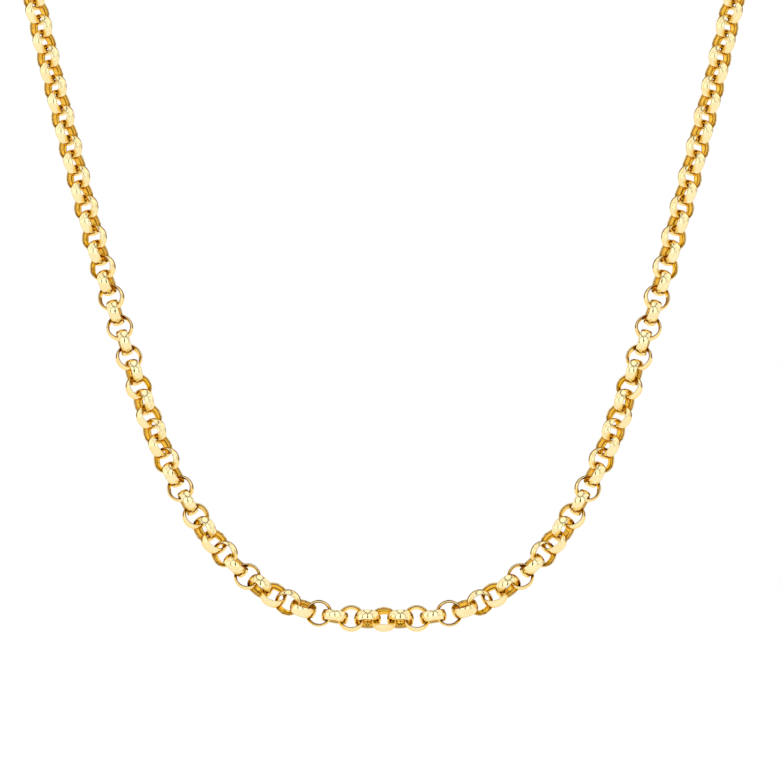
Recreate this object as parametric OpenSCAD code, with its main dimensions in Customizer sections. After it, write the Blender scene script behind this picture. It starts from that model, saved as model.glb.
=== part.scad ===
// Rolo chain: a necklace of round links, each bent from domed band, hanging as
// it is worn and joined behind the neck by a plain ring clasp.
// Millimetres. +Z is up, the chest side faces -Y, and the chain is
// mirror-symmetric about X = 0. The origin lies on the skin of the nape,
// where the inner side of the loop rests behind the neck.

/* [Link] */
// Outside diameter of a link
link_d = 5; // [4.4:0.1:6]
// Width of the band that a link is bent from
band_w = 2.05; // [1.8:0.05:2.2]
// Thickness of the band at the crest of its dome
band_t = 0.56; // [0.5:0.02:0.62]
// Width of the crest of the dome, between its two slopes
crest_w = 0.8; // [0.6:0.05:1]
// Height of the bevel between the band's flat inner face and its thin rim
bevel_h = 0.3; // [0.26:0.01:0.34]
// Width of that bevel, across the band
bevel_w = 0.4; // [0.35:0.01:0.45]
// Slack between neighbouring links, measured along the chain
link_play = 0.6; // [0.55:0.01:0.65]

/* [Loop] */
// Length of the closed necklace, along the middle of its links
necklace_len = 550; // [500:5:600]
// Lean of the chest stretch, back from the vertical
chest_lean = 18; // [5:1:30]
// Height of the chest stretch, measured up its slope
chest_h = 124; // [100:1:140]
// Radius at which the loop turns back over the shoulders
shoulder_r = 30; // [20:1:40]
// Rise of the nape stretch, above the horizontal
nape_rise = 20; // [10:1:35]

/* [Clasp] */
// Outside diameter of the clasp's ring
clasp_ring_d = 8; // [7.5:0.1:9]
// Wire diameter of the clasp's ring
clasp_wire_d = 1.5; // [1.2:0.05:1.6]
// Outside diameter of the clasp's small eye
clasp_eye_d = 5; // [4.8:0.1:5.6]
// Wire diameter of the clasp's small eye
clasp_eye_wire_d = 1.1; // [0.9:0.05:1.2]
// Outside diameter of the sleeve in which the ring's wire closes
clasp_sleeve_d = 1.9; // [1.8:0.05:2.1]
// Stretch of the ring that the sleeve covers, in degrees
clasp_sleeve_turn = 100; // [80:5:110]
// Length of the clasp's thumb tab, out from the ring's wire
clasp_tab_len = 1.2; // [0.8:0.1:1.6]
// Diameter of the clasp's thumb tab
clasp_tab_d = 0.9; // [0.7:0.1:1.1]
// Clearance between the clasp and the end link on each side
clasp_gap = 0.2; // [0.15:0.05:0.3]

/* [Hidden] */
$fn = 64;

// Half the loop in plan, from the lowest link to the side of the nape, as arcs:
// share of the necklace's length, turn of the arc in degrees
route_arcs = [
    [0.011, 3.5],
    [0.041, 40.5],
    [0.032, 18],
    [0.032, 9],
    [0.041, 3.5],
    [0.113, 3],
    [0.127, 50],
];

// How far the links are rolled about the chain's own line: share of half the chain,
// roll in degrees, and how far each link that lies between two even ones leads them
roll_table = [
    [0, -26, 15],
    [0.023, -2, 3],
    [0.045, 20, 0],
    [0.068, 48, 0],
    [0.091, 78, 0],
    [0.114, 112, 2],
    [0.136, 143, 3],
    [0.159, 168, 0],
    [0.182, 196, -1],
    [0.205, 218, -5],
    [0.227, 235, -6],
    [0.273, 259, -6],
    [0.318, 282, -1],
    [0.364, 299, 10],
    [0.409, 303, 15],
    [0.5, 308, 16],
    [0.682, 326, 0],
    [1, 360, 0],
];

// The link: its outer radius, its radii at the rims and inside, and its flat inner face
link_r = link_d / 2;
bore_r = link_r - band_t;
rim_r = bore_r + bevel_h;
flat_w = band_w - 2 * bevel_w;

// The step at which two links at right angles just touch, less the slack
full_step = 2 * seat_depth(bore_r) - link_play;

// The clasp: its ring and eye lie side by side and share the wall where they meet
ring_r = (clasp_ring_d - clasp_wire_d) / 2;
ring_bore_r = ring_r - clasp_wire_d / 2;
eye_r = (clasp_eye_d - clasp_eye_wire_d) / 2;
eye_bore_r = eye_r - clasp_eye_wire_d / 2;
centres = ring_r + eye_r;
ring_reach = seat_depth(ring_bore_r) - clasp_gap + bore_r;
eye_reach = seat_depth(eye_bore_r) - clasp_gap + bore_r;
clasp_half = (eye_reach + centres + ring_reach) / 2;
ring_x = clasp_half - ring_reach;
eye_x = eye_reach - clasp_half;

// The plan: millimetres for a share of 1 that make the loop its full length once
// one last arc has brought it round to the clasp
shape = last(knots(route_arcs));
close_turn = 180 - shape[3];
close_ratio = radians(close_turn) / sin(shape[3]);
plan_mm = (necklace_len / 2 - clasp_half + clasp_half * close_ratio)
    / (shape[0] + shape[1] * close_ratio);
close_len = (shape[1] * plan_mm - clasp_half) * close_ratio;
half_arcs = concat([for (a = route_arcs) [a[0] * plan_mm, a[1]]], [[close_len, close_turn]]);
half_knots = knots(half_arcs);
half_len = last(half_knots)[0];

// The links of half the chain, at equal steps that just use up its length
link_count = ceil(half_len / full_step);
link_step = half_len / link_count;

// The last link of the chest stretch, on each side
chest_end = round(link_count / 2);

// The slope of the loop: steep on the chest, turning over the shoulders to the nape
chest_slope = 90 - chest_lean;
bend_len = radians(chest_slope - nape_rise) * shoulder_r;

nape = place_at(half_len);
nape_skin = [0, nape[0][1], nape[0][2]] + nape[2] * link_r;

function radians(a) = a * PI / 180;
function last(v) = v[len(v) - 1];

// How far from its centre the flat of a band rests inside a round hole
function seat_depth(hole_r) = sqrt(pow(hole_r, 2) - pow(flat_w / 2, 2));

// A knot holds [length so far, x, height in plan, heading]; an arc carries it on
function carry(knot, length, turn) =
    let (r = length / radians(turn), a = knot[3], b = knot[3] + turn)
    [knot[0] + length, knot[1] + r * (sin(b) - sin(a)), knot[2] + r * (cos(a) - cos(b)), b];
function knots(arcs, i = 0, knot = [0, 0, 0, 0]) =
    i == len(arcs) ? [knot]
    : concat([knot], knots(arcs, i + 1, carry(knot, arcs[i][0], arcs[i][1])));

// The plan at length s, on the arc that holds it
function arc_of(s) = max([for (i = [0:len(half_arcs) - 1]) if (half_knots[i][0] <= s) i]);
function plan_at(s) =
    let (i = arc_of(s), part = (s - half_knots[i][0]) / half_arcs[i][0])
    part == 0 ? half_knots[i]
    : carry(half_knots[i], half_arcs[i][0] * part, half_arcs[i][1] * part);

// The side view at plan height u, as [y, z, slope]
function slope_at(u) = u < chest_h ? chest_slope
    : max(nape_rise, chest_slope - (u - chest_h) / radians(1) / shoulder_r);
function side_at(u) =
    let (
        a = slope_at(u),
        up = min(u, chest_h),
        on = max(0, u - chest_h - bend_len)
    )
    [
        up * cos(chest_slope) + shoulder_r * (sin(chest_slope) - sin(a)) + on * cos(a),
        up * sin(chest_slope) + shoulder_r * (cos(a) - cos(chest_slope)) + on * sin(a),
        a
    ];

// The place at length s: the point, then the directions along the chain,
// to the inside of the loop and square through it towards the wearer
function place_at(s) =
    let (p = plan_at(s), side = side_at(p[2]), h = p[3], a = side[2])
    [
        [p[1], side[0], side[1]],
        [cos(h), sin(h) * cos(a), sin(h) * sin(a)],
        [-sin(h), cos(h) * cos(a), cos(h) * sin(a)],
        [0, sin(a), -cos(a)]
    ];

// Turns local X to the direction x and local Z to the direction z, and moves to p
module set_at(p, x, z) {
    y = cross(z, x);
    multmatrix([
        [x[0], y[0], z[0], p[0]],
        [x[1], y[1], z[1], p[1]],
        [x[2], y[2], z[2], p[2]],
    ])
    children();
}

// Cross-section of the band: flat inside, bevelled to a thin rim on each side,
// and domed outside in a crest and two slopes
module band_section() {
    polygon([
        [bore_r, -flat_w / 2],
        [bore_r, flat_w / 2],
        [rim_r, band_w / 2],
        [link_r, crest_w / 2],
        [link_r, -crest_w / 2],
        [rim_r, -band_w / 2],
    ]);
}

// One link, round its own Z axis
module link() {
    rotate_extrude() band_section();
}

// The roll of link number n of half the chain
function roll_at(n, column) = lookup(n / link_count, [for (row = roll_table) [row[0], row[column]]]);
function roll_of(n) = roll_at(n, 1) + (n % 2 == 0 ? 0 : roll_at(n, 2));

// Link number n of half the chain, counted up from the lowest link.
// Each is turned a quarter from the next, counted from the clasp, on top of its roll.
module set_link(n) {
    at = place_at(n * link_step);
    roll = roll_of(n) + 90 * ((link_count - n) % 2);
    set_at(at[0], at[1], cos(roll) * at[3] + sin(roll) * at[2]) link();
}

// The links from one number to another, on both sides
module set_pairs(from, to) {
    for (n = [from:to]) {
        set_link(n);
        mirror([1, 0, 0]) set_link(n);
    }
}

// The stretch that hangs on the chest, with the lowest link in its middle
module chest_chain() {
    color("gold")
    translate(-nape_skin) {
        set_link(0);
        set_pairs(1, chest_end);
    }
}

// The stretch that lies on the shoulders and the nape, up to the clasp
module nape_chain() {
    color("gold")
    translate(-nape_skin) set_pairs(chest_end + 1, link_count);
}

// A ring of round wire in the local XY plane
module wire_ring(r, wire_d) {
    rotate_extrude() translate([r, 0]) circle(d = wire_d);
}

// The clasp: a ring for one end link, an eye for the other, a sleeve and a tab
module clasp() {
    color("goldenrod")
    translate(-nape_skin)
    set_at([0, nape[0][1], nape[0][2]], [1, 0, 0], nape[2]) {
        translate([ring_x, 0]) {
            wire_ring(ring_r, clasp_wire_d);
            rotate([0, 0, 90 - clasp_sleeve_turn / 2])
                rotate_extrude(angle = clasp_sleeve_turn)
                translate([ring_r, 0]) circle(d = clasp_sleeve_d);
            translate([0, -ring_r, 0]) rotate([90, 0, 0])
                cylinder(d = clasp_tab_d, h = clasp_wire_d / 2 + clasp_tab_len);
        }
        translate([eye_x, 0]) wire_ring(eye_r, clasp_eye_wire_d);
    }
}

chest_chain();
nape_chain();
clasp();
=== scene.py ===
"""A rolo chain necklace in polished yellow gold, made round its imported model.

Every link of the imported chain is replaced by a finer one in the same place: the band's
dome is smooth, its inner face is slightly hollow, and its rims and corners are rounded.
The clasp behind the neck is replaced by a copy with rounded edges. A white light tent
surrounds the necklace.
"""

import functools
import math

import bmesh
import bpy
import numpy as np
from bpy.props import FloatProperty, FloatVectorProperty, IntProperty, PointerProperty
from mathutils import Matrix, Vector


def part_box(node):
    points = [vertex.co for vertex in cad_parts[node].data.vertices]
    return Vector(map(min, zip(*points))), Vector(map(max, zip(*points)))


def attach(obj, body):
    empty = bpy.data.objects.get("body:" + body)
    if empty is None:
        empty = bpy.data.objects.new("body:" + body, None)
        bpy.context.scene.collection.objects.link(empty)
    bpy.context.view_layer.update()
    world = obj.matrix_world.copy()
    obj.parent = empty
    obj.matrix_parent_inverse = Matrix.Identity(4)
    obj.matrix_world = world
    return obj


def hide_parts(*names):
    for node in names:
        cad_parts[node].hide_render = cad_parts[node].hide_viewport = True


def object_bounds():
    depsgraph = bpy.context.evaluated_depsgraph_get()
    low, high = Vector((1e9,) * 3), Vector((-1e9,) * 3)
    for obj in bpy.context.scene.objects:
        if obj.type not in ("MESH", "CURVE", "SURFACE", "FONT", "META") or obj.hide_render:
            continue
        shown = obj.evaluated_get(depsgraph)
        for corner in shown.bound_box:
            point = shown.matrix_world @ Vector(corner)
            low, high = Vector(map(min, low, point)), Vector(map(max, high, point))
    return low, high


bl_info = {
    "name": "Rolo Chain Necklace",
    "version": (1, 0, 0),
    "blender": (4, 5, 0),
    "location": "3D View > Sidebar > Necklace",
    "description": "Makes the links, the clasp and the studio of a gold rolo chain necklace",
    "category": "Object",
}

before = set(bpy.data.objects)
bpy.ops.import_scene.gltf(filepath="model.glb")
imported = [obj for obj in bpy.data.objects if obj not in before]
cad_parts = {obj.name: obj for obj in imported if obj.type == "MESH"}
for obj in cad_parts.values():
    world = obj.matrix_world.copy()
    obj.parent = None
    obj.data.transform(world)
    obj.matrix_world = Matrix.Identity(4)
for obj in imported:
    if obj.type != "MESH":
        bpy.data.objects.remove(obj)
cad_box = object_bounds()

CHAIN_NODES = ("chest_chain", "nape_chain")

MERGE = 1e-7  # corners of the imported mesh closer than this, in metres, are one
MEASURE = 2e-5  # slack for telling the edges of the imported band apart, in metres
SHARP = math.radians(30)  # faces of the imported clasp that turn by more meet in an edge

BORE_FADE = 0.5  # share of the bevel over which the inside of a link fades out
PALE_INSIDE_FROM = 0.84  # how squarely a link faces the front where the painted reflection inside it starts to fade
PALE_INSIDE_FULL = 0.93  # how squarely it does where its inside gets no painted reflection at all

RIPPLES = 900  # ripples of the polish to the metre
SMEARS = 350  # smears of the polish to the metre
HAIRLINES = 6000  # hairline scratches to the metre
HAIRLINE_DEPTH = 0.006  # depth of a hairline, as a share of a ripple's height
SMEAR_EDGES = (0.35, 0.7)  # noise over which a smear comes up to its full strength
SMEAR_TONE = 0.18  # how far a full smear takes polished gold towards the Deep Gold colour
SMEAR_ROUGHNESS = 0.05  # roughness that a full smear adds

REFLECTION_NEAR = (0, 0.5)  # nearness to the next link's band over which the gold is painted orange, a painted reflection of that link
SHADE_NEAR = (0.5, 0.75)  # nearness to it over which the gold is painted dark brown, a painted shade between the links
RIM_EDGES = (0.05, 0.45)  # how far rim a point is where its painted dark reflection line starts and is full
CORNER_EDGES = (0.05, 0.35)  # the same for a corner beside the inner face, 0.5 at its middle
SHADE_LINE = 0.3  # where the painted shade line runs, from 0 in the middle of the inner face to 1 at its side
SHADE_LINE_EDGES = (0.12, 0.4)  # how far off that line the painted shade starts to fade and has ended
SHADE_LINE_PATCHES = (0.35, 0.6)  # noise of the smears over which the painted shade line comes up to its full
SHADE_LINE_LEAST = 0.55  # share of the painted shade line that shows between its patches

GAP_RISE = math.radians(15)  # how far above the horizon the tent's gap lies, in front
TENT_WALL = (  # degrees off the gap, brightness of the tent there, share of WARM in it
    (0, 0.01, 0),
    (5, 0.01, 0),
    (10, 1.7, 0),
    (36, 1.7, 0),
    (42, 0.6, 0),
    (46, 0.6, 0),
    (52, 1.3, 0),
    (118, 1.3, 0),
    (128, 0.3, 0.9),
    (150, 0.3, 0.9),
    (180, 0.9, 0.2),
)
WARM = (1, 0.6, 0.12)  # tint of the tent's dim back
SEAM_CORE = 0.03  # how far off the middle plane the tent's seam is at its darkest
SEAM_EDGE = 0.14  # how far off that plane it ends
SEAM_LIGHT = 0.09  # share of the tent's light along the seam
FORK_HEIGHT = 0.7  # where the seam forks, from 0 at the horizon to 1 overhead
FORK_SPREAD = 1.8  # how far its two branches move apart for each step up
FOLDS = (5, 5, 2)  # how close the folds of the tent's cloth lie along X, Y and Z
FOLD_EDGES = (0.38, 0.58)  # noise over which the cloth goes from a fold to its full light
FOLD_LIGHT = 0.55  # share of the tent's light in a fold

PAPER_WHITE = (0.9, 0.9, 0.9, 1)  # colour of the floor
PAPER_ROUGHNESS = 0.9

PHOTO_PX = 782  # side of the photograph's frame
SYMMETRY_PX = 383.5  # column of the photograph that the chain is mirrored about
LOWEST_LINK_PX = 618.9  # row of the lowest link's middle
SIGHT = 3  # how far the camera sees, as a multiple of its distance from the chain


class LinkSettings(bpy.types.PropertyGroup):
    """How finely the links are made."""

    ring_steps: IntProperty(
        name="Ring Steps", description="Steps round one link", default=40, min=16, max=96
    )
    dome_steps: IntProperty(
        name="Dome Steps", description="Steps across the band's dome", default=9, min=4, max=24
    )
    hollow_steps: IntProperty(
        name="Hollow Steps",
        description="Steps across the band's inner face",
        default=5,
        min=2,
        max=7,
    )
    round_steps: IntProperty(
        name="Rounding Steps",
        description="Steps round each edge of the band",
        default=2,
        min=1,
        max=6,
    )
    rim_round: FloatProperty(
        name="Rim Rounding",
        description="How far the rounding of the band's thin rims reaches",
        default=0.00008,
        min=0.00002,
        max=0.00016,
        precision=5,
        unit="LENGTH",
    )
    bore_round: FloatProperty(
        name="Bore Rounding",
        description="How far the rounding beside the band's inner face reaches",
        default=0.00012,
        min=0.00002,
        max=0.00016,
        precision=5,
        unit="LENGTH",
    )
    hollow: FloatProperty(
        name="Inner Hollow",
        description="How deep the band's inner face is hollowed along its middle",
        default=0.00008,
        min=0.00001,
        max=0.00012,
        precision=5,
        unit="LENGTH",
    )


class ClaspSettings(bpy.types.PropertyGroup):
    """How the clasp's edges are finished."""

    edge_round: FloatProperty(
        name="Edge Rounding",
        description="How far the rounding of the sleeve's ends and the tab's end reaches",
        default=0.0001,
        min=0.00002,
        max=0.00015,
        precision=5,
        unit="LENGTH",
    )
    round_steps: IntProperty(
        name="Clasp Rounding Steps",
        description="Steps round each of those edges",
        default=3,
        min=1,
        max=6,
    )


class GoldSettings(bpy.types.PropertyGroup):
    """The colour and polish of the gold, and the reflection and shade painted on it."""

    polished: FloatVectorProperty(
        name="Polished Gold",
        description="Colour of the gold where it is polished bright",
        default=(0.94, 0.81, 0.46),
        size=3,
        min=0,
        max=1,
        subtype="COLOR",
    )
    # Orange gold: the tone of the random smears, and the painted reflection of the surrounding gold
    # inside the links and near their neighbours.
    deep_and_painted_reflection: FloatVectorProperty(
        name="Deep Gold",
        description="Colour of the gold inside the links, which the buff doesn't reach",
        default=(0.86, 0.49, 0.06),
        size=3,
        min=0,
        max=1,
        subtype="COLOR",
    )
    glancing: FloatVectorProperty(
        name="Glancing Tint",
        description="Tint of the gold's reflections at glancing angles",
        default=(1, 0.7, 0.2),
        size=3,
        min=0,
        max=1,
        subtype="COLOR",
    )
    # Dark brown painted shade where links touch and in a line along each inner face, and painted
    # dark reflection lines along the rims and the corners beside the inner face.
    painted_shade: FloatVectorProperty(
        name="Painted Shade",
        description="Colour of the gold where two links rub, along their edges and in the stain",
        default=(0.19, 0.075, 0),
        size=3,
        min=0,
        max=1,
        subtype="COLOR",
    )
    # Reach of the painted reflection and painted shade near the neighbouring links.
    touch_reach: FloatProperty(
        name="Touch Reach",
        description="How far from its neighbours' bands a link is still deeper in colour",
        default=0.0009,
        precision=5,
        unit="LENGTH",
    )
    # Strength of the painted dark reflection line along the rims.
    rim_painted_shade: FloatProperty(
        name="Rim Painted Shade",
        description="Share of tarnish along the rims",
        default=0.3,
        min=0,
        max=1,
    )
    # Strength of the painted dark reflection line along the corners beside the inner face.
    corner_painted_shade: FloatProperty(
        name="Corner Painted Shade",
        description="Share of tarnish along the corners beside the band's inner face",
        default=0.55,
        min=0,
        max=1,
    )
    gloss: FloatProperty(
        name="Roughness", description="Roughness of the polished faces", default=0.07, min=0, max=1
    )
    bore_gloss: FloatProperty(
        name="Inner Roughness",
        description="Roughness of the faces inside the links",
        default=0.12,
        min=0,
        max=1,
    )
    ripple: FloatProperty(
        name="Ripple",
        description="Height of the shallow unevenness that polishing leaves",
        default=0.00003,
        min=0,
        max=0.00005,
        precision=6,
        unit="LENGTH",
    )


class StudioSettings(bpy.types.PropertyGroup):
    """The camera, the light tent and the floor."""

    pixel: FloatProperty(
        name="Pixel Size",
        description="What one pixel of the photograph spans on the chain",
        default=0.000186,
        precision=6,
        unit="LENGTH",
    )
    distance: FloatProperty(
        name="Camera Distance",
        description="From the camera to the chest stretch",
        default=5,
        unit="LENGTH",
    )
    floor_drop: FloatProperty(
        name="Floor Drop",
        description="From the lowest link down to the floor",
        default=0.03,
        unit="LENGTH",
    )
    floor_size: FloatProperty(
        name="Floor Size", description="Side of the floor", default=6, unit="LENGTH"
    )
    floor_glow: FloatProperty(
        name="Floor Glow", description="Light that comes through the floor", default=0.24
    )
    tent: FloatProperty(
        name="Tent Brightness", description="Brightness of the white light tent", default=1.12
    )


def add_object(name, bm, material):
    """Makes a bmesh an object of one material, at the origin, and frees it."""
    mesh = bpy.data.meshes.new(name)
    bm.to_mesh(mesh)
    bm.free()
    mesh.materials.append(material)
    thing = bpy.data.objects.new(name, mesh)
    bpy.context.scene.collection.objects.link(thing)
    return thing


def share(value):
    """The value, held between 0 and 1."""
    return min(1, max(0, value))


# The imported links


def solids_of(node):
    """The separate solids of a CAD node, each as the corners and areas of its faces."""
    bm = bmesh.new()
    bm.from_mesh(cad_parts[node].data)
    bmesh.ops.remove_doubles(bm, verts=bm.verts, dist=MERGE)
    for seed in bm.faces:
        if seed.tag:
            continue
        seed.tag = True
        front, faces = [seed], []
        while front:
            face = front.pop()
            faces.append(face)
            for other in (f for edge in face.edges for f in edge.link_faces):
                if not other.tag:
                    other.tag = True
                    front.append(other)
        corners = np.array([[v.co[:] for v in face.verts] for face in faces])
        areas = np.array([face.calc_area() for face in faces])
        yield corners, areas
    bm.free()


def place_of(corners, areas):
    """The matrix that sets a link, made round the Z axis, where this packed link lies."""
    middles = corners.mean(axis=1)
    centre = np.average(middles, axis=0, weights=areas)
    spread = np.cov((middles - centre).T, aweights=areas)
    axis = Vector(np.linalg.eigh(spread)[1][:, 0])
    return Matrix.Translation(centre) @ axis.to_track_quat("Z", "Y").to_matrix().to_4x4()


class Band:
    """The cross-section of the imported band, measured on one link."""

    def __init__(self, corners, place):
        home = np.array(place.inverted())
        points = corners.reshape(-1, 3) @ home[:3, :3].T + home[:3, 3]
        radius = np.hypot(points[:, 0], points[:, 1])
        aside = np.abs(points[:, 2])
        self.bore = radius.min()
        self.crown = radius.max()
        self.half_width = aside.max()
        self.rim = radius[aside > self.half_width - MEASURE].mean()
        self.flat = aside[radius < self.bore + MEASURE].max()


class Chain:
    """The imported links: their places, by node and all together, and their band's section."""

    def __init__(self):
        solids = {node: list(solids_of(node)) for node in CHAIN_NODES}
        self.places = {node: [place_of(*solid) for solid in own] for node, own in solids.items()}
        self.all_places = [place for own in self.places.values() for place in own]
        self.band = Band(solids[CHAIN_NODES[0]][0][0], self.all_places[0])

    def links_near(self, point, reach):
        """The links whose middles lie within reach of a point, but not on it."""
        return [
            place
            for place in self.all_places
            if MERGE < (place.translation - point).length < reach
        ]

    def touch(self, points, neighbours, reach):
        """How near each point lies to its neighbours' bands, from 0 to 1 at their faces."""
        nearest = np.full(len(points), np.inf)
        for link in neighbours:
            offset = points - np.array(link.translation)
            aside = offset @ np.array(link.col[2].xyz)
            radius = np.sqrt((offset**2).sum(axis=1) - aside**2)
            off_face = np.maximum(self.band.bore - radius, radius - self.band.crown).clip(0)
            off_rim = (np.abs(aside) - self.band.half_width).clip(0)
            nearest = np.minimum(nearest, np.hypot(off_face, off_rim))
        return (1 - nearest / reach).clip(0)


@functools.cache
def packed_chain():
    """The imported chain, measured once."""
    return Chain()


def corners_of(mesh):
    """A mesh's corners as rows of coordinates."""
    points = np.empty(3 * len(mesh.vertices))
    mesh.vertices.foreach_get("co", points)
    return points.reshape(-1, 3)


# The finer links


def band_arc(bm, ends, middle, half_width, steps):
    """Draws an arc across the band, from one side to the other, and returns its two ends."""
    rise = middle - ends
    radius = (half_width**2 + rise**2) / (2 * rise)
    low_end = bm.verts.new((ends, 0, -half_width))
    arc = bmesh.ops.spin(
        bm,
        geom=[low_end],
        cent=(middle - radius, 0, 0),
        axis=(0, -1, 0),
        angle=2 * math.asin(half_width / radius),
        steps=steps,
    )
    return low_end, arc["geom_last"][0]


def band_outline(bm, band, links):
    """Draws the band's section beside the Z axis and rounds its four corners."""
    rims = band_arc(bm, band.rim, band.crown, band.half_width, links.dome_steps)
    hollow = band.bore + links.hollow
    bores = band_arc(bm, band.bore, hollow, band.flat, links.hollow_steps)
    for rim, bore in zip(rims, bores):
        bm.edges.new((rim, bore))
    bmesh.ops.contextual_create(bm, geom=bm.edges[:])
    for corners, reach in ((rims, links.rim_round), (bores, links.bore_round)):
        bmesh.ops.bevel(
            bm,
            geom=list(corners),
            affect="VERTICES",
            offset=reach,
            segments=links.round_steps,
            profile=0.5,
            material=-1,
        )
    bmesh.ops.delete(bm, geom=bm.faces[:], context="FACES_ONLY")


def link_mesh(band, links):
    """One link round the Z axis, with values on its points that its material reads.

    They say how far a point is bore, how far it is rim and where it lies across the inner
    face, from -1 to 1. What the link's place decides, how near it lies to its neighbours and how
    far it turns from the front, is left at 0.
    """
    bm = bmesh.new()
    band_outline(bm, band, links)
    bmesh.ops.spin(
        bm,
        geom=bm.verts[:] + bm.edges[:],
        cent=(0, 0, 0),
        axis=(0, 0, 1),
        angle=2 * math.pi,
        steps=links.ring_steps,
        use_merge=True,
    )
    bmesh.ops.recalc_face_normals(bm, faces=bm.faces)
    for name in ("touch", "turned_away"):
        bm.verts.layers.float.new(name)
    bore, rim, side = (bm.verts.layers.float.new(name) for name in ("bore", "rim", "side"))
    for vert in bm.verts:
        out = vert.co.xy.length - band.rim
        bevel = (abs(vert.co.z) - band.flat) / (band.half_width - band.flat)
        vert[bore] = share(1 - bevel / BORE_FADE) if out < 0 else 0
        vert[rim] = share(bevel) * share(1 - out / links.rim_round)
        vert[side] = vert.co.z / band.flat
    for face in bm.faces:
        face.smooth = True
    mesh = bpy.data.meshes.new("link")
    bm.to_mesh(mesh)
    bm.free()
    return mesh


def turn_away(place):
    """How far a link turns away from the front, from 0 to 1, which sets how much of its inside gets
    the painted reflection of the surrounding gold.
    """
    facing = abs(place.col[2].y)
    return share((PALE_INSIDE_FULL - facing) / (PALE_INSIDE_FULL - PALE_INSIDE_FROM))


def string_links(name, link, places, chain, reach, material):
    """Sets a copy of the link at each place and joins them to one piece."""
    bm = bmesh.new()
    for place in places:
        copy = link.copy()
        copy.transform(place)
        neighbours = chain.links_near(place.translation, 2 * chain.band.crown)
        # Nearness to the neighbouring bands and turn from the front, from which the material paints
        # reflection and shade.
        touch = chain.touch(corners_of(copy), neighbours, reach)
        copy.attributes["touch"].data.foreach_set("value", touch)
        copy.attributes["turned_away"].data.foreach_set("value", np.full(len(touch), turn_away(place)))
        bm.from_mesh(copy)
        bpy.data.meshes.remove(copy)
    return add_object(name, bm, material)


# The finer clasp


def round_clasp(clasp):
    """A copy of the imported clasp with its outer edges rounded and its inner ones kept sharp."""
    bm = bmesh.new()
    bm.from_mesh(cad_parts["clasp"].data)
    bmesh.ops.remove_doubles(bm, verts=bm.verts, dist=MERGE)
    bm.verts.layers.float.new("touch")
    outer = []
    for edge in bm.edges:
        if edge.calc_face_angle() > SHARP:
            if edge.is_convex:
                outer.append(edge)
            else:
                edge.smooth = False
    bmesh.ops.bevel(
        bm,
        geom=outer,
        affect="EDGES",
        offset=clasp.edge_round,
        segments=clasp.round_steps,
        profile=0.5,
        material=-1,
    )
    for face in bm.faces:
        face.smooth = True
    return bm


# Shader nodes


def add_node(tree, kind, links=(), **settings):
    """Adds a node, sets its attributes and joins or sets its inputs by name or number."""
    node = tree.nodes.new(kind)
    for key, value in settings.items():
        setattr(node, key, value)
    for key, value in dict(links).items():
        if isinstance(value, bpy.types.NodeSocket):
            tree.links.new(value, node.inputs[key])
        else:
            node.inputs[key].default_value = value
    return node


def reckon(tree, operation, *values, clamp=False):
    """Works one number out of others."""
    links = dict(enumerate(values))
    node = add_node(tree, "ShaderNodeMath", links, operation=operation, use_clamp=clamp)
    return node.outputs[0]


def fade(tree, value, edges, low=0, high=1):
    """Goes from low to high while the value goes from one edge to the other."""
    start, end = edges
    links = {"Value": value, "From Min": start, "From Max": end, "To Min": low, "To Max": high}
    return add_node(tree, "ShaderNodeMapRange", links).outputs[0]


def noise(tree, place, scale, detail, distortion=0):
    """A noise of this many grains to the metre."""
    links = {"Vector": place, "Scale": scale, "Detail": detail, "Distortion": distortion}
    return add_node(tree, "ShaderNodeTexNoise", links).outputs["Fac"]


def mix(tree, factor, first, second):
    """The first colour where the factor is 0, and the second where it is 1."""
    links = {"Factor": factor, 6: first, 7: second}
    return add_node(tree, "ShaderNodeMix", links, data_type="RGBA").outputs[2]


def new_group(name, takes, gives):
    """A new node group that takes a place and these numbers, and the sockets that hold them."""
    group = bpy.data.node_groups.new(name, "ShaderNodeTree")
    group.interface.new_socket("Vector", in_out="INPUT", socket_type="NodeSocketVector")
    for way, names in (("INPUT", takes), ("OUTPUT", gives)):
        for key in names:
            group.interface.new_socket(key, in_out=way, socket_type="NodeSocketFloat")
    return group, group.nodes.new("NodeGroupInput").outputs


# Materials


def polish_and_reflection_group():
    """Node group: what hand polishing leaves on gold, as a tone, a roughness and a height; the tone
    also carries the painted reflection of the surrounding gold.
    """
    group, given = new_group(
        "polish",
        ("Inside", "Touch", "Bright Roughness", "Inner Roughness"),
        ("Tone", "Roughness", "Height"),
    )
    ripples = noise(group, given["Vector"], RIPPLES, detail=2)
    hairlines = noise(group, given["Vector"], HAIRLINES, detail=3, distortion=2)
    smears = fade(group, noise(group, given["Vector"], SMEARS, detail=1), SMEAR_EDGES)
    # Random smears, and the painted reflection of the surrounding gold inside the links, turn the
    # gold orange.
    smears_and_reflection = reckon(group, "MULTIPLY_ADD", smears, SMEAR_TONE, given["Inside"], clamp=True)
    # Painted reflection of the neighbouring link: orange near its band.
    near_reflection = fade(group, given["Touch"], REFLECTION_NEAR)
    base = fade(group, given["Inside"], (0, 1), given["Bright Roughness"], given["Inner Roughness"])
    add_node(
        group,
        "NodeGroupOutput",
        {
            "Tone": reckon(group, "MAXIMUM", smears_and_reflection, near_reflection),
            "Roughness": reckon(group, "MULTIPLY_ADD", smears, SMEAR_ROUGHNESS, base),
            "Height": reckon(group, "MULTIPLY_ADD", hairlines, HAIRLINE_DEPTH, ripples),
        },
    )
    return group


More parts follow.
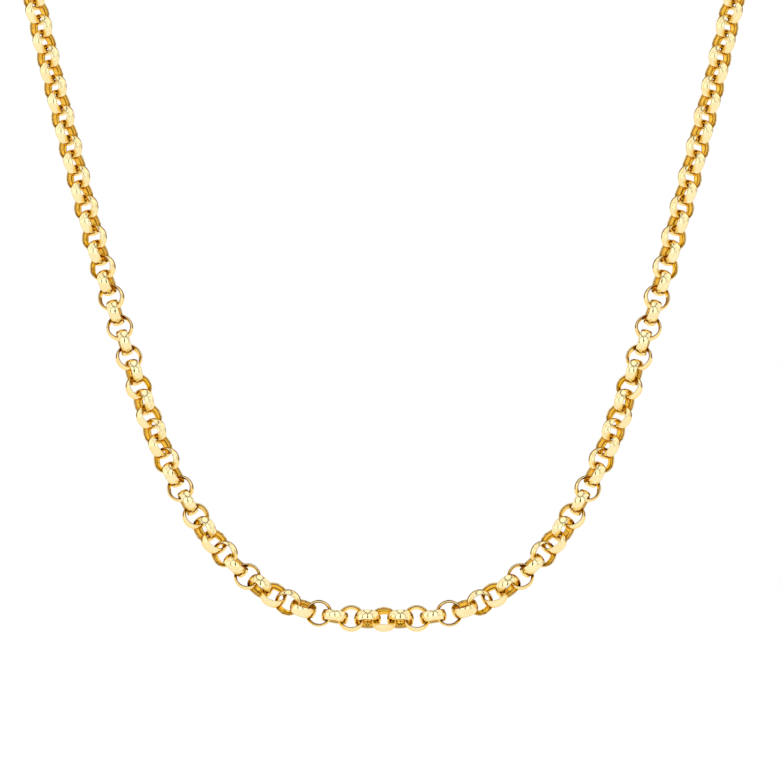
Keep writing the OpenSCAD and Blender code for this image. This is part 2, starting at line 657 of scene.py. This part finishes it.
def painted_shade_group():
    """Node group: where gold is painted dark brown: painted shade where links touch and in a line
    along each inner face, and painted dark reflection lines along the rims and the corners beside
    the inner face.
    """
    group, given = new_group(
        "painted_shade",
        ("Bore", "Inside", "Side", "Rim", "Touch", "Corner Painted Shade", "Rim Painted Shade"),
        ("Painted Shade",),
    )
    # Painted shade line along each inner face, in patches.
    off_line = reckon(group, "ABSOLUTE", reckon(group, "SUBTRACT", given["Side"], SHADE_LINE))
    stripe = fade(group, off_line, SHADE_LINE_EDGES, 1, 0)
    smears = noise(group, given["Vector"], SMEARS, detail=1)
    patched = reckon(group, "MULTIPLY", stripe, fade(group, smears, SHADE_LINE_PATCHES, SHADE_LINE_LEAST))
    shading = reckon(group, "MULTIPLY", patched, given["Inside"])
    # Painted dark reflection line along the corners beside the inner face.
    corner = reckon(group, "PINGPONG", given["Bore"], 0.5)
    cornered = fade(group, corner, CORNER_EDGES, 0, given["Corner Painted Shade"])
    # Painted shade where the links touch.
    touch_shade = fade(group, given["Touch"], SHADE_NEAR)
    # Painted dark reflection line along the rims.
    rimmed = fade(group, given["Rim"], RIM_EDGES, 0, given["Rim Painted Shade"])
    worst = reckon(group, "MAXIMUM", touch_shade, reckon(group, "ADD", shading, cornered))
    add_node(
        group,
        "NodeGroupOutput",
        {"Painted Shade": reckon(group, "ADD", rimmed, worst, clamp=True)},
    )
    return group


def gold_material(name, gold):
    """Polished yellow gold, orange in random smears and where the reflection of the surrounding
    gold is painted, and dark brown where shade is painted.
    """
    material = bpy.data.materials.new(name)
    material.use_nodes = True
    tree = material.node_tree
    place = add_node(tree, "ShaderNodeTexCoord").outputs["Object"]
    bore, side, rim, touch, turned_away = (
        add_node(tree, "ShaderNodeAttribute", attribute_name=key).outputs["Fac"]
        for key in ("bore", "side", "rim", "touch", "turned_away")
    )
    # Share of the inner face painted with the reflection of the surrounding gold, on links turned
    # from the front; it also sets the inner roughness and the painted shade line.
    inside = reckon(tree, "MULTIPLY", bore, turned_away)
    polish = add_node(
        tree,
        "ShaderNodeGroup",
        {
            "Vector": place,
            "Inside": inside,
            "Touch": touch,
            "Bright Roughness": gold.gloss,
            "Inner Roughness": gold.bore_gloss,
        },
        node_tree=bpy.data.node_groups.get("polish") or polish_and_reflection_group(),
    )
    painted_shade = add_node(
        tree,
        "ShaderNodeGroup",
        {
            "Vector": place,
            "Bore": bore,
            "Inside": inside,
            "Side": side,
            "Rim": rim,
            "Touch": touch,
            "Corner Painted Shade": gold.corner_painted_shade,
            "Rim Painted Shade": gold.rim_painted_shade,
        },
        node_tree=bpy.data.node_groups.get("painted_shade") or painted_shade_group(),
    )
    # Polished gold, turned orange by the random smears and by the painted reflection.
    toned = mix(tree, polish.outputs["Tone"], (*gold.polished, 1), (*gold.deep_and_painted_reflection, 1))
    # Then the dark brown painted shade and painted dark reflection lines.
    shaded_colour = mix(tree, painted_shade.outputs["Painted Shade"], toned, (*gold.painted_shade, 1))
    bump = add_node(
        tree,
        "ShaderNodeBump",
        {"Height": polish.outputs["Height"], "Distance": gold.ripple, "Strength": 1},
    )
    shader = tree.nodes["Principled BSDF"]
    shader.inputs["Metallic"].default_value = 1
    shader.inputs["Specular Tint"].default_value = (*gold.glancing, 1)
    tree.links.new(shaded_colour, shader.inputs["Base Color"])
    tree.links.new(polish.outputs["Roughness"], shader.inputs["Roughness"])
    tree.links.new(bump.outputs["Normal"], shader.inputs["Normal"])
    return material


def paper_material(glow):
    """The floor's matt white paper, with some light from below."""
    paper = bpy.data.materials.new("white_paper")
    paper.use_nodes = True
    shader = paper.node_tree.nodes["Principled BSDF"]
    for key, value in (
        ("Base Color", PAPER_WHITE),
        ("Roughness", PAPER_ROUGHNESS),
        ("Specular IOR Level", 0),
        ("Emission Color", (1, 1, 1, 1)),
        ("Emission Strength", glow),
    ):
        shader.inputs[key].default_value = value
    return paper


def tent_world(tent):
    """A light tent: plain white to the camera, with its gap and its seam in reflections."""
    world = bpy.data.worlds.new("light_tent")
    world.use_nodes = True
    tree = world.node_tree
    tree.nodes.clear()
    way = add_node(tree, "ShaderNodeTexCoord").outputs["Generated"]

    toward_gap = add_node(
        tree,
        "ShaderNodeVectorMath",
        {0: way, 1: (0, -math.cos(GAP_RISE), math.sin(GAP_RISE))},
        operation="DOT_PRODUCT",
    )
    off_gap = reckon(tree, "ARCCOSINE", toward_gap.outputs["Value"])
    half_turns = reckon(tree, "MULTIPLY", off_gap, 1 / math.pi)
    wall = add_node(tree, "ShaderNodeValToRGB", {"Fac": half_turns})
    ramp = wall.color_ramp
    while len(ramp.elements) < len(TENT_WALL):
        ramp.elements.new(1)
    for stop, (degrees, light, warmth) in zip(ramp.elements, TENT_WALL):
        stop.position = degrees / 180
        stop.color = (*(light * (1 - warmth * (1 - tint)) for tint in WARM), 1)

    cloth = add_node(tree, "ShaderNodeMapping", {"Vector": way, "Scale": FOLDS})
    folded = fade(tree, noise(tree, cloth.outputs[0], 1, detail=3), FOLD_EDGES, FOLD_LIGHT)

    parts = add_node(tree, "ShaderNodeSeparateXYZ", {"Vector": way})
    aside = reckon(tree, "ABSOLUTE", parts.outputs["X"])
    spread = FORK_SPREAD * (1 - FORK_HEIGHT)
    branch = fade(tree, parts.outputs["Z"], (FORK_HEIGHT, 1), 0, spread)
    off_seam = reckon(tree, "ABSOLUTE", reckon(tree, "SUBTRACT", aside, branch))
    seam = fade(tree, off_seam, (SEAM_CORE, SEAM_EDGE), SEAM_LIGHT * tent, tent)

    light = reckon(tree, "MULTIPLY", folded, seam)
    reflected = add_node(
        tree, "ShaderNodeBackground", {"Color": wall.outputs[0], "Strength": light}
    )
    seen = add_node(tree, "ShaderNodeBackground", {"Color": (1, 1, 1, 1), "Strength": 1})
    ray = add_node(tree, "ShaderNodeLightPath")
    both = add_node(
        tree,
        "ShaderNodeMixShader",
        {0: ray.outputs["Is Camera Ray"], 1: reflected.outputs[0], 2: seen.outputs[0]},
    )
    add_node(tree, "ShaderNodeOutputWorld", {"Surface": both.outputs[0]})
    return world


# Operators


class MakeLinks(bpy.types.Operator):
    """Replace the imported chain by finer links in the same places"""

    bl_idname = "necklace.make_links"
    bl_label = "Links"

    def execute(self, context):
        links, gold = context.scene.necklace_links, context.scene.necklace_gold
        material = gold_material("link_gold", gold)
        chain = packed_chain()
        link = link_mesh(chain.band, links)
        for name, node in (("chest_links", "chest_chain"), ("nape_links", "nape_chain")):
            piece = string_links(name, link, chain.places[node], chain, gold.touch_reach, material)
            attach(piece, "root")
            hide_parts(node)
        bpy.data.meshes.remove(link)
        return {"FINISHED"}


class MakeClasp(bpy.types.Operator):
    """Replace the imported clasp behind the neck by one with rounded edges"""

    bl_idname = "necklace.make_clasp"
    bl_label = "Clasp"

    def execute(self, context):
        gold = context.scene.necklace_gold
        low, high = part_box("clasp")
        bm = round_clasp(context.scene.necklace_clasp)
        piece = add_object("ring_clasp", bm, gold_material("clasp_gold", gold))
        chain = packed_chain()
        # Nearness to the links beside it, from which the material paints reflection and shade.
        neighbours = chain.links_near((low + high) / 2, high.x - low.x)
        touch = chain.touch(corners_of(piece.data), neighbours, gold.touch_reach)
        piece.data.attributes["touch"].data.foreach_set("value", touch)
        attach(piece, "root")
        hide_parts("clasp")
        return {"FINISHED"}


class SetStage(bpy.types.Operator):
    """Add the camera, the white light tent and the floor"""

    bl_idname = "necklace.set_stage"
    bl_label = "Stage"

    def execute(self, context):
        scene, studio = context.scene, context.scene.necklace_studio
        low = cad_box[0]
        lowest_link = min(place.translation.z for place in packed_chain().all_places)

        middle_px = (PHOTO_PX - 1) / 2
        camera = bpy.data.objects.new("camera", bpy.data.cameras.new("camera"))
        camera.data.lens = camera.data.sensor_width * studio.distance / (PHOTO_PX * studio.pixel)
        camera.data.clip_end = SIGHT * studio.distance
        camera.location = (
            (middle_px - SYMMETRY_PX) * studio.pixel,
            low.y - studio.distance,
            lowest_link + (LOWEST_LINK_PX - middle_px) * studio.pixel,
        )
        camera.rotation_euler = (math.radians(90), 0, 0)
        scene.collection.objects.link(camera)
        scene.camera = camera

        scene.world = tent_world(studio.tent)
        scene.view_settings.view_transform = "Standard"

        bm = bmesh.new()
        bmesh.ops.create_grid(bm, size=studio.floor_size / 2)
        bmesh.ops.translate(bm, verts=bm.verts, vec=(0, 0, low.z - studio.floor_drop))
        add_object("floor", bm, paper_material(studio.floor_glow))
        return {"FINISHED"}


class NecklacePanel(bpy.types.Panel):
    """The necklace's pieces and settings"""

    bl_idname = "VIEW3D_PT_necklace"
    bl_label = "Necklace"
    bl_space_type = "VIEW_3D"
    bl_region_type = "UI"
    bl_category = "Necklace"

    def draw(self, context):
        for step in STEPS:
            self.layout.operator(step.bl_idname)
        for name, settings in SETTINGS.items():
            group = getattr(context.scene, name)
            for key in settings.__annotations__:
                self.layout.prop(group, key)


STEPS = (MakeLinks, MakeClasp, SetStage)
SETTINGS = {
    "necklace_links": LinkSettings,
    "necklace_clasp": ClaspSettings,
    "necklace_gold": GoldSettings,
    "necklace_studio": StudioSettings,
}


def register():
    for group in SETTINGS.values():
        bpy.utils.register_class(group)
    for step in (*STEPS, NecklacePanel):
        bpy.utils.register_class(step)
    for name, group in SETTINGS.items():
        setattr(bpy.types.Scene, name, PointerProperty(type=group))


def unregister():
    for name in SETTINGS:
        delattr(bpy.types.Scene, name)
    for step in (NecklacePanel, *reversed(STEPS)):
        bpy.utils.unregister_class(step)
    for group in reversed(SETTINGS.values()):
        bpy.utils.unregister_class(group)


def main():
    """Makes every piece and the stage."""
    register()
    bpy.ops.necklace.make_links()
    bpy.ops.necklace.make_clasp()
    bpy.ops.necklace.set_stage()


if __name__ == "__main__":
    main()
